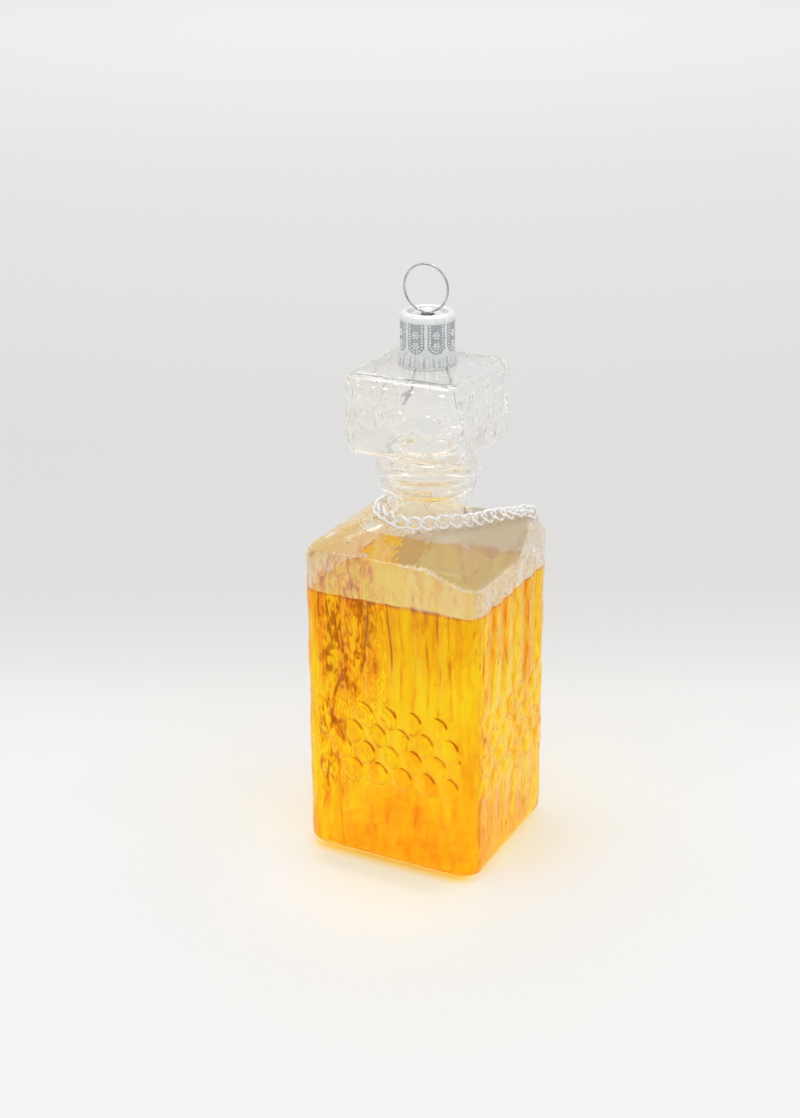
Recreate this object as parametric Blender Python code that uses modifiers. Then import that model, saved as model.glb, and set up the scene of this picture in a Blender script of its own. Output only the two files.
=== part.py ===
"""Hanging glass ornament in the shape of a square liquor decanter.

One blown shell carries the body, neck, mouth, stopper and the open pike that the metal cap covers.
A lacquer film lines the lower body. A wire hanger passes through the cap, and its two sprung legs
stand inside the stopper. A loose loop of curb chain lies round the neck. Lengths are in metres.
"""
import math

import bmesh
import bpy
from mathutils import Matrix, Vector

# Body: a rounded rectangle in plan, on a flat foot
BODY_WIDTH = 0.0448
BODY_DEPTH = 0.0420
CORNER_R = 0.0040
FOOT_R = 0.0024
WALL_TOP_Z = 0.0732
EDGE_R = 0.0035
SHOULDER_SLOPE = math.radians(21.0)
GLASS_WALL = 0.0011
INNER_CORNER_SHARE = 0.25
NECK_FOOT_SHARE = 0.85
NECK_FOOT_ROUND_SHARE = 0.8

# Cut-glass relief of the four body faces
RELIEF = 0.00045
FLUTES = 6
FLUTE_LOW_Z = 0.0060
FLUTE_FADE = 0.0030
DIAMOND_Z = 0.0265
DIAMOND_ROW = 0.0047
DIAMOND_ROWS = 5

# Neck, lip ring and mouth flange, turned about the vertical axis
NECK_R = 0.0092
LIP_R = 0.01135
LIP_Z = 0.0883
LIP_ROUND = 0.0014
GROOVE_R = 0.0104
FLANGE_R = 0.0122
FLANGE_Z = 0.0925
FLANGE_ROUND = 0.0021
WAIST_R = 0.0086
NECK_WALL = 0.0009

# Stopper: a square block with round bumps on each side
STOPPER_WIDTH = 0.0290
STOPPER_LOW_Z = 0.0968
STOPPER_HIGH_Z = 0.1158
STOPPER_CORNER_R = 0.0022
STOPPER_ROUND = 0.0020
STOPPER_RISE = 0.0005
STOPPER_WALL = 0.0009
BUMP_HEIGHT = 0.0006
BUMP_COLUMNS = 4
BUMP_ROWS = 3

# Pike: the open tube on top of the stopper
PIKE_R = 0.0052
PIKE_WALL = 0.0008
PIKE_ROOT_R = 0.0057
PIKE_ROOT_HEIGHT = 0.0012

# Lacquer film inside the lower body
FILM_TOP_Z = 0.0656
FILM_THICKNESS = 0.0003
SEAT_GAP = 0.0003

# Stamped metal cap
CAP_R = 0.0061
CAP_SHEET = 0.0003
CAP_RIM_R = 0.0050
CAP_RIM_ROUND = 0.0006
CAP_RECESS = 0.0009
CAP_HOLE_R = 0.0016
CAP_HEIGHT = 0.0114
CAP_SKIRT = 0.0032
CAP_FLARE = 0.0006
CAP_PANELS = 8
CAP_EMBOSS = 0.00018
# Half-width of the sunk panel in each row, top to bottom, as a share of the panel's pitch
PANEL_SHARES = (0.0, 0.34, 0.34, 0.34, 0.2, 0.0)

# Wire hanger: a ring and two sprung legs
WIRE_R = 0.00024
RING_R = 0.0053
LEG_PITCH = 0.0018
LEG_BEND_R = 0.0007
LEG_TIP_SPREAD = 0.0065
LEG_TIP_Z = 0.1060
LEG_BOW_POWER = 1.25
RING_LIFT = 0.0002
HANGER_LEAN = math.radians(4.0)

# Curb chain: its oval links, and its slack that hangs over the back edge
CHAIN_WIRE_R = 0.00023
CHAIN_LINKS = 37
LINK_WIDTH = 0.0033
LINK_SLACK = 0.00043
LINK_TWIST = math.radians(45.0)
CHAIN_GAP = 0.0003
CHAIN_SAG = 0.0070
CHAIN_BRIDGE = 0.0034

# Counts of facets
FACE_STEPS = 2 * FLUTES
ARC_STEPS = 3
CAVITY_FACE_STEPS = 2
CAVITY_ARC_STEPS = 3
TURN_STEPS = 36
BORE_STEPS = 24
BUMP_STEPS = 4
FILLET_STEPS = 3
RING_STEPS = 24
BEND_STEPS = 4
LEG_STEPS = 4
LINK_STEPS = 12
CAP_ARC_STEPS = 2
PANEL_STEPS = 6
ROUTE_SMOOTH_STEPS = 12

# How far a solid runs into the one that it joins or cuts, and the span that turned points merge in
OVERRUN = 0.0020
MERGE_SPAN = 0.00001

PART_NAME = "decanter_ornament"

# Driving values worked out from the ones above
BODY_HALF = Vector((BODY_WIDTH / 2 - RELIEF, BODY_DEPTH / 2 - RELIEF))
FLUTE_TOP_Z = WALL_TOP_Z - FLUTE_FADE
STOPPER_HALF = STOPPER_WIDTH / 2 - BUMP_HEIGHT
CAP_LOW_Z = STOPPER_HIGH_Z + STOPPER_RISE + SEAT_GAP
CAP_TOP_Z = CAP_LOW_Z + CAP_HEIGHT
CAP_FLOOR_Z = CAP_TOP_Z - CAP_RECESS
PIKE_TOP_Z = CAP_FLOOR_Z - CAP_SHEET - SEAT_GAP
RING_RISE = RING_LIFT + WIRE_R + RING_R
SKIRT_ROW = len(PANEL_SHARES)


def clear_scene():
    for old in list(bpy.data.objects):
        bpy.data.objects.remove(old, do_unlink=True)


def new_collection(name):
    collection = bpy.data.collections.new(name)
    bpy.context.scene.collection.children.link(collection)
    return collection


def new_material(name, colour, roughness, metallic=0.0, transmission=0.0):
    material = bpy.data.materials.new(name)
    material.use_nodes = True
    shader = material.node_tree.nodes["Principled BSDF"]
    shader.inputs["Base Color"].default_value = (*colour, 1.0)
    shader.inputs["Roughness"].default_value = roughness
    shader.inputs["Metallic"].default_value = metallic
    shader.inputs["Transmission Weight"].default_value = transmission
    material.diffuse_color = (*colour, 1.0)
    return material


def add_object(name, data, collection, material=None):
    obj = bpy.data.objects.new(name, data)
    collection.objects.link(obj)
    if material:
        data.materials.append(material)
    return obj


def add_cutter(name, data, collection):
    cutter = add_object(name, data, collection)
    cutter.hide_render = True
    cutter.display_type = "WIRE"
    return cutter


def boolean(target, tool, operation):
    modifier = target.modifiers.new(f"{operation.lower()} {tool.name}", "BOOLEAN")
    modifier.operation = operation
    modifier.solver = "EXACT"
    modifier.object = tool


def smooth(mesh, angle=math.radians(35)):
    mesh.shade_smooth()
    mesh.set_sharp_from_angle(angle=angle)


def lerp(a, b, share):
    return a + (b - a) * share


def rounded_outline(half_x, half_y, radius, face_steps, arc_steps):
    """Points round a rounded rectangle, anticlockwise from above, each with its face's outward
    direction and its step along that face, or None on a corner's arc."""
    points = []
    for side in range(4):
        out = Vector((1, 0)) if side == 0 else Matrix.Rotation(side * math.pi / 2, 2) @ Vector((1, 0))
        along = Vector((-out.y, out.x))
        reach = abs(out.x) * half_x + abs(out.y) * half_y
        run = abs(along.x) * half_x + abs(along.y) * half_y - radius
        for step in range(face_steps + 1):
            place = out * reach + along * lerp(-run, run, step / face_steps)
            points.append((place, out, step))
        centre = out * (reach - radius) + along * run
        for step in range(1, arc_steps):
            turn = math.pi / 2 * step / arc_steps
            spoke = out * math.cos(turn) + along * math.sin(turn)
            points.append((centre + spoke * radius, spoke, None))
    return points


def loft(name, rings, heights):
    """A closed solid through rings of points, each ring with its own height and each point with
    its own relief. A four-sided patch is split along its deeper diagonal, so valleys stay crisp."""
    bm = bmesh.new()
    rows = []
    for ring, height in zip(rings, heights):
        rows.append([(bm.verts.new((*(place + out * relief), height)), relief)
                     for place, out, relief in ring])
    for low, high in zip(rows, rows[1:]):
        for i in range(len(low)):
            j = (i + 1) % len(low)
            a, b, c, d = low[i], low[j], high[j], high[i]
            if a[1] + c[1] <= b[1] + d[1]:
                triangles = ((a, b, c), (a, c, d))
            else:
                triangles = ((a, b, d), (b, c, d))
            for triangle in triangles:
                bm.faces.new([corner[0] for corner in triangle])
    bm.faces.new([corner[0] for corner in reversed(rows[0])])
    bm.faces.new([corner[0] for corner in rows[-1]])
    mesh = bpy.data.meshes.new(name)
    bm.to_mesh(mesh)
    bm.free()
    smooth(mesh)
    return mesh


def turned(name, profile, steps, collection):
    """A closed solid turned about the vertical axis. The profile runs down its outer side."""
    mesh = bpy.data.meshes.new(name)
    points = [(0, 0, profile[0][1]), *((r, 0, z) for r, z in profile), (0, 0, profile[-1][1])]
    mesh.from_pydata(points, [(i, i + 1) for i in range(len(points) - 1)], [])
    obj = add_cutter(name, mesh, collection)
    screw = obj.modifiers.new("turn", "SCREW")
    screw.steps = screw.render_steps = steps
    screw.use_merge_vertices = True
    screw.merge_threshold = MERGE_SPAN
    return obj


def flat_relief(ring):
    return [(place, out, 0) for place, out, step in ring]


def body_stations(inset):
    """(inset from the wall, height) up the body, its wall offset inwards by inset: the foot's
    fillet, the straight wall, the rounded shoulder edge and the slope up to the neck."""
    foot = []
    for step in range(FILLET_STEPS + 1):
        turn = math.pi / 2 * step / FILLET_STEPS
        radius = FOOT_R - inset
        foot.append((FOOT_R - radius * math.sin(turn), FOOT_R - radius * math.cos(turn)))
    shoulder = []
    for step in range(FILLET_STEPS + 1):
        turn = (math.pi / 2 - SHOULDER_SLOPE) * step / FILLET_STEPS
        radius = EDGE_R - inset
        shoulder.append((EDGE_R - radius * math.cos(turn), WALL_TOP_Z + radius * math.sin(turn)))
    return foot, shoulder


def body_plan(inset, depth):
    """Half-width, half-depth and corner radius of the body, or of its inside at an inset, where its
    surface has come in by depth from the wall's plane. Towards the neck it shrinks to a near-square."""
    neck_r = (NECK_R - inset) * NECK_FOOT_SHARE
    share = max(0, (depth - inset) / (neck_depth(inset) - inset))
    half_y = lerp(BODY_HALF.y - inset, neck_r, share) if share else BODY_HALF.y - depth
    corner = max(CORNER_R - inset, CORNER_R * INNER_CORNER_SHARE)
    return BODY_HALF.x - depth, half_y, lerp(corner, neck_r * NECK_FOOT_ROUND_SHARE, share)


def body_outline(inset, depth, face_steps, arc_steps):
    return rounded_outline(*body_plan(inset, depth), face_steps, arc_steps)


def slope_height(depth, last):
    """Height of the shoulder's slope at a depth in from the wall, from its last edge station."""
    return last[1] + (depth - last[0]) * math.tan(SHOULDER_SLOPE)


def neck_depth(inset):
    return BODY_HALF.x - (NECK_R - inset) * NECK_FOOT_SHARE


def shoulder_height(x, y):
    """Height of the shoulder's outer surface above a point in plan, or of the neck's root."""
    low, high = 0.0, neck_depth(0)
    edge = body_stations(0)[1]
    for _ in range(40):
        middle = (low + high) / 2
        low, high = (middle, high) if inside_body(x, y, middle) else (low, middle)
    if low < edge[-1][0]:
        return WALL_TOP_Z + math.sqrt(max(0, EDGE_R ** 2 - (EDGE_R - low) ** 2))
    return slope_height(low, edge[-1])


def inside_body(x, y, depth):
    half_x, half_y, radius = body_plan(0, depth)
    over = Vector((max(0, abs(x) - half_x + radius), max(0, abs(y) - half_y + radius)))
    return over.length <= radius


def fluted(ring, crest, amount):
    """Ring with its face points raised by amount where their step is odd (crest 1) or even (0)."""
    return [(place, out, amount if step is not None and 0 < step < FACE_STEPS and step % 2 == crest else 0)
            for place, out, step in ring]


def body_mesh():
    foot, shoulder = body_stations(0)
    rings, heights = [], []

    def station(depth, height, crest=None):
        outline = body_outline(0, depth, FACE_STEPS, ARC_STEPS)
        rings.append(flat_relief(outline) if crest is None else fluted(outline, crest, RELIEF))
        heights.append(height)

    for depth, height in foot:
        station(depth, height)
    station(0, FLUTE_LOW_Z)
    station(0, FLUTE_LOW_Z + FLUTE_FADE, 1)
    for row in range(DIAMOND_ROWS):
        station(0, DIAMOND_Z + row * DIAMOND_ROW, (row + 1) % 2)
    station(0, FLUTE_TOP_Z, 1)
    for depth, height in shoulder:
        station(depth, height)
    depth = neck_depth(0)
    station(depth, slope_height(depth, shoulder[-1]))
    return loft("glass_shell", rings, heights)


def body_liner_rings(inset):
    """Plain rings of the body offset inwards by inset: the foot's fillet, then the wall's top."""
    foot, shoulder = body_stations(inset)
    steps = (CAVITY_FACE_STEPS, CAVITY_ARC_STEPS)
    low = [(flat_relief(body_outline(inset, d, *steps)), z) for d, z in foot]
    high = [(flat_relief(body_outline(inset, d, *steps)), z) for d, z in shoulder]
    depth = neck_depth(inset)
    top = slope_height(depth, shoulder[-1])
    high.append((flat_relief(body_outline(inset, depth, *steps)), top))
    return low, high


def body_cavity_mesh():
    low, high = body_liner_rings(GLASS_WALL)
    rings, heights = zip(*low, *high)
    return loft("body_cavity", rings, heights)


def bulge(radius, height, round_r, inset):
    """Profile points down a turned ring's half-round rim, without its two ends."""
    points = []
    for step in range(1, 2 * FILLET_STEPS):
        turn = lerp(math.pi / 2, -math.pi / 2, step / (2 * FILLET_STEPS))
        reach = round_r - inset
        points.append((radius - round_r + reach * math.cos(turn), height + reach * math.sin(turn)))
    return points


def neck_profile(inset):
    """Down the outer side: waist under the stopper, mouth flange, groove, lip ring and neck."""
    flange = bulge(FLANGE_R, FLANGE_Z, FLANGE_ROUND, inset)
    lip = bulge(LIP_R, LIP_Z, LIP_ROUND, inset)
    groove_z = (FLANGE_Z - FLANGE_ROUND + LIP_Z + LIP_ROUND) / 2
    waist = [(WAIST_R - inset, STOPPER_LOW_Z + OVERRUN), (WAIST_R - inset, FLANGE_Z + FLANGE_ROUND)]
    root = WALL_TOP_Z if inset else WALL_TOP_Z + EDGE_R
    neck = [(NECK_R - inset, LIP_Z - LIP_ROUND), (NECK_R - inset, root)]
    return [*waist, *flange, (GROOVE_R - inset, groove_z), *lip, *neck]


def bump_relief(step, row):
    """Height of the stopper's round bumps at a grid point, every other row moved by half a bump."""
    moved = BUMP_STEPS / 2 if row // BUMP_STEPS % 2 else 0
    u = 2 * ((step + moved) / BUMP_STEPS % 1) - 1
    v = 2 * (row / BUMP_STEPS % 1) - 1
    return BUMP_HEIGHT * max(0, 1 - u * u - v * v)


def stopper_stations(inset):
    """(inset, height) up the stopper: rounded lower edge, wall, rounded upper edge and dome."""
    radius = STOPPER_ROUND - inset if inset < STOPPER_ROUND else 0
    quarter = [math.pi / 2 * step / FILLET_STEPS for step in range(FILLET_STEPS + 1)]
    low = [(STOPPER_ROUND - radius * math.sin(t), STOPPER_LOW_Z + STOPPER_ROUND - radius * math.cos(t))
           for t in quarter]
    high = [(STOPPER_ROUND - radius * math.cos(t), STOPPER_HIGH_Z - STOPPER_ROUND + radius * math.sin(t))
            for t in quarter]
    return low, high


def stopper_rings(inset, face_steps, arc_steps):
    low, high = stopper_stations(inset)
    corner = max(STOPPER_CORNER_R - inset, STOPPER_CORNER_R * INNER_CORNER_SHARE)

    def outline(depth):
        half = STOPPER_HALF - depth
        return rounded_outline(half, half, corner, face_steps, arc_steps)

    dome_depth = STOPPER_HALF - PIKE_R
    dome = (dome_depth, STOPPER_HIGH_Z - inset + STOPPER_RISE)
    bottom = [(outline(d), z) for d, z in low]
    top = [(outline(d), z) for d, z in [*high, dome]]
    return bottom, top, outline(inset)


def stopper_mesh():
    faces = BUMP_COLUMNS * BUMP_STEPS
    bottom, top, wall = stopper_rings(0, faces, 2)
    low_z, high_z = bottom[-1][1], top[0][1]
    rows = BUMP_ROWS * BUMP_STEPS
    rings = [flat_relief(ring) for ring, _ in bottom]
    heights = [z for _, z in bottom]
    for row in range(1, rows):
        rings.append([(place, out, bump_relief(step, row) if step is not None else 0)
                      for place, out, step in wall])
        heights.append(lerp(low_z, high_z, row / rows))
    rings += [flat_relief(ring) for ring, _ in top]
    heights += [z for _, z in top]
    return loft("stopper", rings, heights)


def stopper_cavity_mesh():
    bottom, top, _ = stopper_rings(STOPPER_WALL, CAVITY_FACE_STEPS, 2)
    rings = [flat_relief(ring) for ring, _ in bottom + top]
    heights = [z for _, z in bottom + top]
    return loft("stopper_cavity", rings, heights)


def pike_profile(inset):
    top = PIKE_TOP_Z if not inset else PIKE_TOP_Z + OVERRUN
    dome = STOPPER_HIGH_Z + STOPPER_RISE
    profile = [(PIKE_R - inset, top)]
    for step in range(FILLET_STEPS + 1):
        share = step / FILLET_STEPS
        radius = lerp(PIKE_R, PIKE_ROOT_R, share ** 2) - inset
        profile.append((radius, dome + PIKE_ROOT_HEIGHT * (1 - share)))
    return [*profile, (PIKE_ROOT_R - inset, STOPPER_HIGH_Z - OVERRUN)]


def make_glass(parts, cutters, material):
    shell = add_object("glass_shell", body_mesh(), parts, material)
    adds = [
        turned("neck_solid", neck_profile(0), TURN_STEPS, cutters),
        add_cutter("stopper_solid", stopper_mesh(), cutters),
        turned("pike_solid", pike_profile(0), TURN_STEPS, cutters),
    ]
    cuts = [
        add_cutter("body_cavity", body_cavity_mesh(), cutters),
        turned("neck_cavity", neck_profile(NECK_WALL), BORE_STEPS, cutters),
        add_cutter("stopper_cavity", stopper_cavity_mesh(), cutters),
        turned("pike_bore", pike_profile(PIKE_WALL), BORE_STEPS, cutters),
    ]
    for tool in adds:
        boolean(shell, tool, "UNION")
    for tool in cuts:
        boolean(shell, tool, "DIFFERENCE")
    return shell


def make_film(parts, material):
    """The lacquer film: an open cup that follows the inside of the glass up to its level line."""
    outer, _ = body_liner_rings(GLASS_WALL + SEAT_GAP)
    inner, _ = body_liner_rings(GLASS_WALL + SEAT_GAP + FILM_THICKNESS)
    outer.append((outer[-1][0], FILM_TOP_Z))
    inner.append((inner[-1][0], FILM_TOP_Z))
    rings, heights = zip(*outer, *reversed(inner))
    return add_object("amber_lacquer", loft("amber_lacquer", rings, heights), parts, material)


def cap_stations():
    """(radius, height, row of the embossed band or None) from the hole's edge out and down."""
    points = [(CAP_HOLE_R, CAP_FLOOR_Z, None), (CAP_RIM_R - 2 * CAP_RIM_ROUND, CAP_FLOOR_Z, None)]
    for step in range(CAP_ARC_STEPS + 1):
        turn = lerp(math.pi, math.pi / 2, step / CAP_ARC_STEPS)
        points.append((CAP_RIM_R + CAP_RIM_ROUND * math.cos(turn),
                       CAP_TOP_Z - CAP_RIM_ROUND + CAP_RIM_ROUND * math.sin(turn), None))
    shoulder = CAP_R - CAP_RIM_R
    for step in range(1, CAP_ARC_STEPS + 1):
        turn = math.pi / 2 * (1 - step / CAP_ARC_STEPS)
        points.append((CAP_RIM_R + shoulder * math.cos(turn),
                       CAP_TOP_Z - shoulder + shoulder * math.sin(turn), None))
    band_top = CAP_TOP_Z - shoulder - CAP_RIM_ROUND
    band_low = CAP_LOW_Z + CAP_SKIRT
    for row in range(SKIRT_ROW):
        points.append((CAP_R, lerp(band_top, band_low, row / (SKIRT_ROW - 1)), row))
    points.append((CAP_R + CAP_FLARE, CAP_LOW_Z, SKIRT_ROW))
    return points


def cap_mesh():
    """The cap's outer skin: a turned grid with eight sunk, round-ended panels in its wall."""
    bm = bmesh.new()
    rows = []
    steps = CAP_PANELS * PANEL_STEPS
    for radius, height, row in cap_stations():
        verts = []
        for step in range(steps):
            across = abs(step % PANEL_STEPS - PANEL_STEPS / 2) / PANEL_STEPS
            sunk = step % 2 if row == SKIRT_ROW else row is not None and across < PANEL_SHARES[row]
            reach = radius - (CAP_EMBOSS if sunk else 0)
            turn = math.tau * step / steps
            verts.append(bm.verts.new((reach * math.cos(turn), reach * math.sin(turn), height - CAP_LOW_Z)))
        rows.append(verts)
    for high, low in zip(rows, rows[1:]):
        for i in range(steps):
            j = (i + 1) % steps
            bm.faces.new((low[i], low[j], high[j], high[i]))
    mesh = bpy.data.meshes.new("ornament_cap")
    bm.to_mesh(mesh)
    bm.free()
    smooth(mesh)
    return mesh


def make_cap(parts, material):
    cap = add_object("ornament_cap", cap_mesh(), parts, material)
    cap.location.z = CAP_LOW_Z
    sheet = cap.modifiers.new("sheet", "SOLIDIFY")
    sheet.thickness = CAP_SHEET
    sheet.offset = -1
    return cap


def hanger_route():
    """Half of the hanger's centre line, from the ring's top down the +X side to the leg's tip,
    as (x, z) with z counted from the floor of the cap's top."""
    leg_x = LEG_PITCH / 2
    bend_x = leg_x + LEG_BEND_R
    bend_z = -math.sqrt((RING_R + LEG_BEND_R) ** 2 - bend_x ** 2)
    meet = math.atan2(bend_z, bend_x)
    route = []
    for step in range(RING_STEPS // 2 + 1):
        turn = lerp(math.pi / 2, meet, step / (RING_STEPS // 2))
        route.append((RING_R * math.cos(turn), RING_RISE + RING_R * math.sin(turn)))
    for step in range(1, BEND_STEPS + 1):
        turn = lerp(meet + math.pi, math.pi, step / BEND_STEPS)
        route.append((bend_x + LEG_BEND_R * math.cos(turn),
                      RING_RISE + bend_z + LEG_BEND_R * math.sin(turn)))
    for step in range(LEG_STEPS + 1):
        share = step / LEG_STEPS
        route.append((lerp(leg_x, LEG_TIP_SPREAD, share ** LEG_BOW_POWER),
                      lerp(-CAP_SHEET, LEG_TIP_Z - CAP_FLOOR_Z, share)))
    return route


def make_hanger(parts, material):
    half = hanger_route()
    route = [(-x, z) for x, z in reversed(half[1:])] + half
    curve = bpy.data.curves.new("hanger_wire", "CURVE")
    curve.dimensions = "3D"
    curve.bevel_depth = WIRE_R
    curve.bevel_resolution = 2
    curve.use_fill_caps = True
    spline = curve.splines.new("POLY")
    spline.points.add(len(route) - 1)
    for point, (x, z) in zip(spline.points, route):
        point.co = (x, 0, z, 1)
    hanger = add_object("hanger_wire", curve, parts, material)
    hanger.location.z = CAP_FLOOR_Z
    hanger.rotation_euler.y = -HANGER_LEAN
    return hanger


def link_points(half_length):
    """One curb link's centre line: an oval, twisted a quarter turn about its long axis."""
    half_width = LINK_WIDTH / 2 - CHAIN_WIRE_R
    points = []
    for step in range(LINK_STEPS):
        turn = math.tau * step / LINK_STEPS
        reach, side = math.cos(turn), half_width * math.sin(turn)
        twist = LINK_TWIST * reach
        points.append((half_length * reach, side * math.cos(twist), side * math.sin(twist)))
    return points


def link_curve(pitch):
    """The link for a pitch: two wires and some slack longer, so that it holds its neighbours' ends."""
    half_length = (pitch + LINK_SLACK) / 2 + CHAIN_WIRE_R
    curve = bpy.data.curves.new("chain_link", "CURVE")
    curve.dimensions = "3D"
    curve.bevel_depth = CHAIN_WIRE_R
    curve.bevel_resolution = 1
    spline = curve.splines.new("POLY")
    spline.use_cyclic_u = True
    spline.points.add(LINK_STEPS - 1)
    for point, place in zip(spline.points, link_points(half_length)):
        point.co = (*place, 1)
    return curve


# The chain on the shoulder, anticlockwise in plan from behind the neck's left: bearing in degrees,
# reach from the neck's side (0) to the body's half-width (1), and how far the links stand on
# edge, from flat (0) to upright (1)
SHOULDER_ROUTE_SHARES = (
    (130, 0.52, 0.2), (154, 0.27, 0.4), (178, 0.14, 0.6), (205, 0.05, 0.8), (235, 0.0, 0.95),
    (262, 0.0, 1.0), (290, 0.0, 1.0), (315, 0.0, 0.9), (340, 0.05, 0.8), (0, 0.13, 0.7),
    (20, 0.33, 0.7), (33, 0.66, 0.6), (41, 0.95, 0.4),
)
# The chain's slack over the back edge: place along the width as a share of its half, and drop
# from the wall's top as a share of the sag
BACK_ROUTE_SHARES = (
    (0.76, -1.2), (0.75, -0.6), (0.71, -0.05), (0.6, 0.42), (0.42, 0.78), (0.18, 0.97), (-0.04, 0.93),
    (-0.22, 0.68), (-0.35, 0.3), (-0.43, -0.15), (-0.47, -0.65), (-0.48, -1.2),
)


def slope_facing(x, y):
    """The way that the shoulder's surface faces at a place in plan."""
    step = CHAIN_WIRE_R
    rise_x = shoulder_height(x + step, y) - shoulder_height(x - step, y)
    rise_y = shoulder_height(x, y + step) - shoulder_height(x, y - step)
    return Vector((-rise_x, -rise_y, 2 * step)).normalized()


def link_side():
    """Half the thickness of a twisted link, from its middle to its flat side."""
    return max(z for _, _, z in link_points(0)) + CHAIN_WIRE_R


def on_shoulder(bearing, share, stand):
    """A place on the route and the way a link's flat side faces there. A link's middle lies off the
    glass by the chain's gap and half its twisted thickness, or on edge by the gap and half its width."""
    turn = math.radians(bearing)
    outward = Vector((math.cos(turn), math.sin(turn), 0))
    beside_neck = NECK_R + LINK_WIDTH / 2
    plan = Vector((outward.x * lerp(beside_neck, BODY_WIDTH / 2, share),
                   outward.y * lerp(beside_neck, BODY_DEPTH / 2, share)))
    slope = slope_facing(plan.x, plan.y)
    lie = lerp(link_side(), LINK_WIDTH / 2, stand) + CHAIN_GAP
    place = Vector((plan.x, plan.y, shoulder_height(plan.x, plan.y) + lie / slope.z))
    return place, slope.lerp(outward, stand)


def over_back(x_share, drop_share):
    """The same where the slack goes over the rounded back edge and hangs on the back face. The
    links tilt too little to follow the edge, so the bend is wider and touches it in its middle."""
    radius = EDGE_R + link_side() + CHAIN_GAP + CHAIN_BRIDGE
    drop = drop_share * CHAIN_SAG
    turn = max(0, -drop) / radius
    facing = Vector((0, math.cos(turn), math.sin(turn)))
    apex = (math.pi / 2 - SHOULDER_SLOPE) / 2
    middle = Vector((x_share * BODY_WIDTH / 2, BODY_DEPTH / 2 - EDGE_R - CHAIN_BRIDGE * math.cos(apex),
                     WALL_TOP_Z - max(0, drop) - CHAIN_BRIDGE * math.sin(apex)))
    return middle + facing * radius, facing


def smooth_loop(points):
    """A closed curve through the points, as short straight steps."""
    fine = []
    count = len(points)
    for i in range(count):
        a, b, c, d = (points[(i + k) % count] for k in (-1, 0, 1, 2))
        for step in range(ROUTE_SMOOTH_STEPS):
            t = step / ROUTE_SMOOTH_STEPS
            fine.append((b * 2 + (c - a) * t + (a * 2 - b * 5 + c * 4 - d) * t ** 2
                         + (b * 3 - a - c * 3 + d) * t ** 3) / 2)
    return fine


def link_frames(places, facings):
    """The pitch and each link's place and axes, evenly spaced round the loop: its length lies along
    the chain and its flat side follows the facing."""
    steps = [(b - a).length for a, b in zip(places, places[1:] + places[:1])]
    pitch = sum(steps) / CHAIN_LINKS
    frames = []
    for i in range(CHAIN_LINKS):
        left, k = pitch * i, 0
        while left > steps[k]:
            left -= steps[k]
            k += 1
        after = (k + 1) % len(places)
        along = (places[after] - places[k]).normalized()
        facing = facings[k].lerp(facings[after], left / steps[k])
        across = facing.cross(along).normalized()
        frame = Matrix((along, across, along.cross(across))).transposed().to_4x4()
        frame.translation = places[k].lerp(places[after], left / steps[k])
        frames.append(frame)
    return pitch, frames


def make_chain(parts, material):
    route = [on_shoulder(*entry) for entry in SHOULDER_ROUTE_SHARES]
    route += [over_back(*entry) for entry in BACK_ROUTE_SHARES]
    places, facings = (smooth_loop(list(values)) for values in zip(*route))
    pitch, frames = link_frames(places, facings)
    curve = link_curve(pitch)
    curve.materials.append(material)
    holder = bpy.data.objects.new("chain_holder", None)
    parts.objects.link(holder)
    for i, frame in enumerate(frames):
        link = add_object(f"chain_link_{i + 1:02d}", curve, parts)
        link.parent = holder
        link.matrix_local = frame


def main():
    clear_scene()
    parts = new_collection(PART_NAME)
    cutters = new_collection("cutters")
    clear_glass = new_material("clear_glass", (0.95, 0.96, 0.93), 0.03, transmission=1.0)
    amber = new_material("amber_lacquer", (0.98, 0.47, 0.02), 0.1, transmission=0.8)
    cap_metal = new_material("silver_cap", (0.82, 0.83, 0.85), 0.25, metallic=1.0)
    wire_metal = new_material("steel_wire", (0.55, 0.55, 0.56), 0.3, metallic=1.0)
    chain_metal = new_material("silver_chain", (0.85, 0.85, 0.86), 0.2, metallic=1.0)
    make_glass(parts, cutters, clear_glass)
    make_film(parts, amber)
    make_cap(parts, cap_metal)
    make_hanger(parts, wire_metal)
    make_chain(parts, chain_metal)


main()
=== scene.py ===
"""Looks of the hanging glass decanter ornament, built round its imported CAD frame.

The glass is one fine closed shell, with the moulded relief on its outside and a softer copy inside.
The amber lacquer is one open skin just inside the inner wall. Lengths are in metres.
"""
import math

import bpy
import numpy as np
from mathutils import Matrix, Vector

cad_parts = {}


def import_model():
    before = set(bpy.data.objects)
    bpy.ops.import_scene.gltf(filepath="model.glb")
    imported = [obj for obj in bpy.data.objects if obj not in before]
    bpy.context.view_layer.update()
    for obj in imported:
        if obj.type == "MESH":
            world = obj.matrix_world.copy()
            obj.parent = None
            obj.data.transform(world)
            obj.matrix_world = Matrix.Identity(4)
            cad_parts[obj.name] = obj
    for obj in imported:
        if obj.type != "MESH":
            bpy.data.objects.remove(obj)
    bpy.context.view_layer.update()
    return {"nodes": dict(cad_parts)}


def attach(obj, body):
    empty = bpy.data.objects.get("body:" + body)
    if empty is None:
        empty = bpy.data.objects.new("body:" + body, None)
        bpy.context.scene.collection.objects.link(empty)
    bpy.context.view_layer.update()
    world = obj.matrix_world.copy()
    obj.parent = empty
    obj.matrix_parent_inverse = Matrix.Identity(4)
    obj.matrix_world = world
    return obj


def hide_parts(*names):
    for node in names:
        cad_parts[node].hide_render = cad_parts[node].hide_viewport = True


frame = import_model()

MM = 0.001

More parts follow.
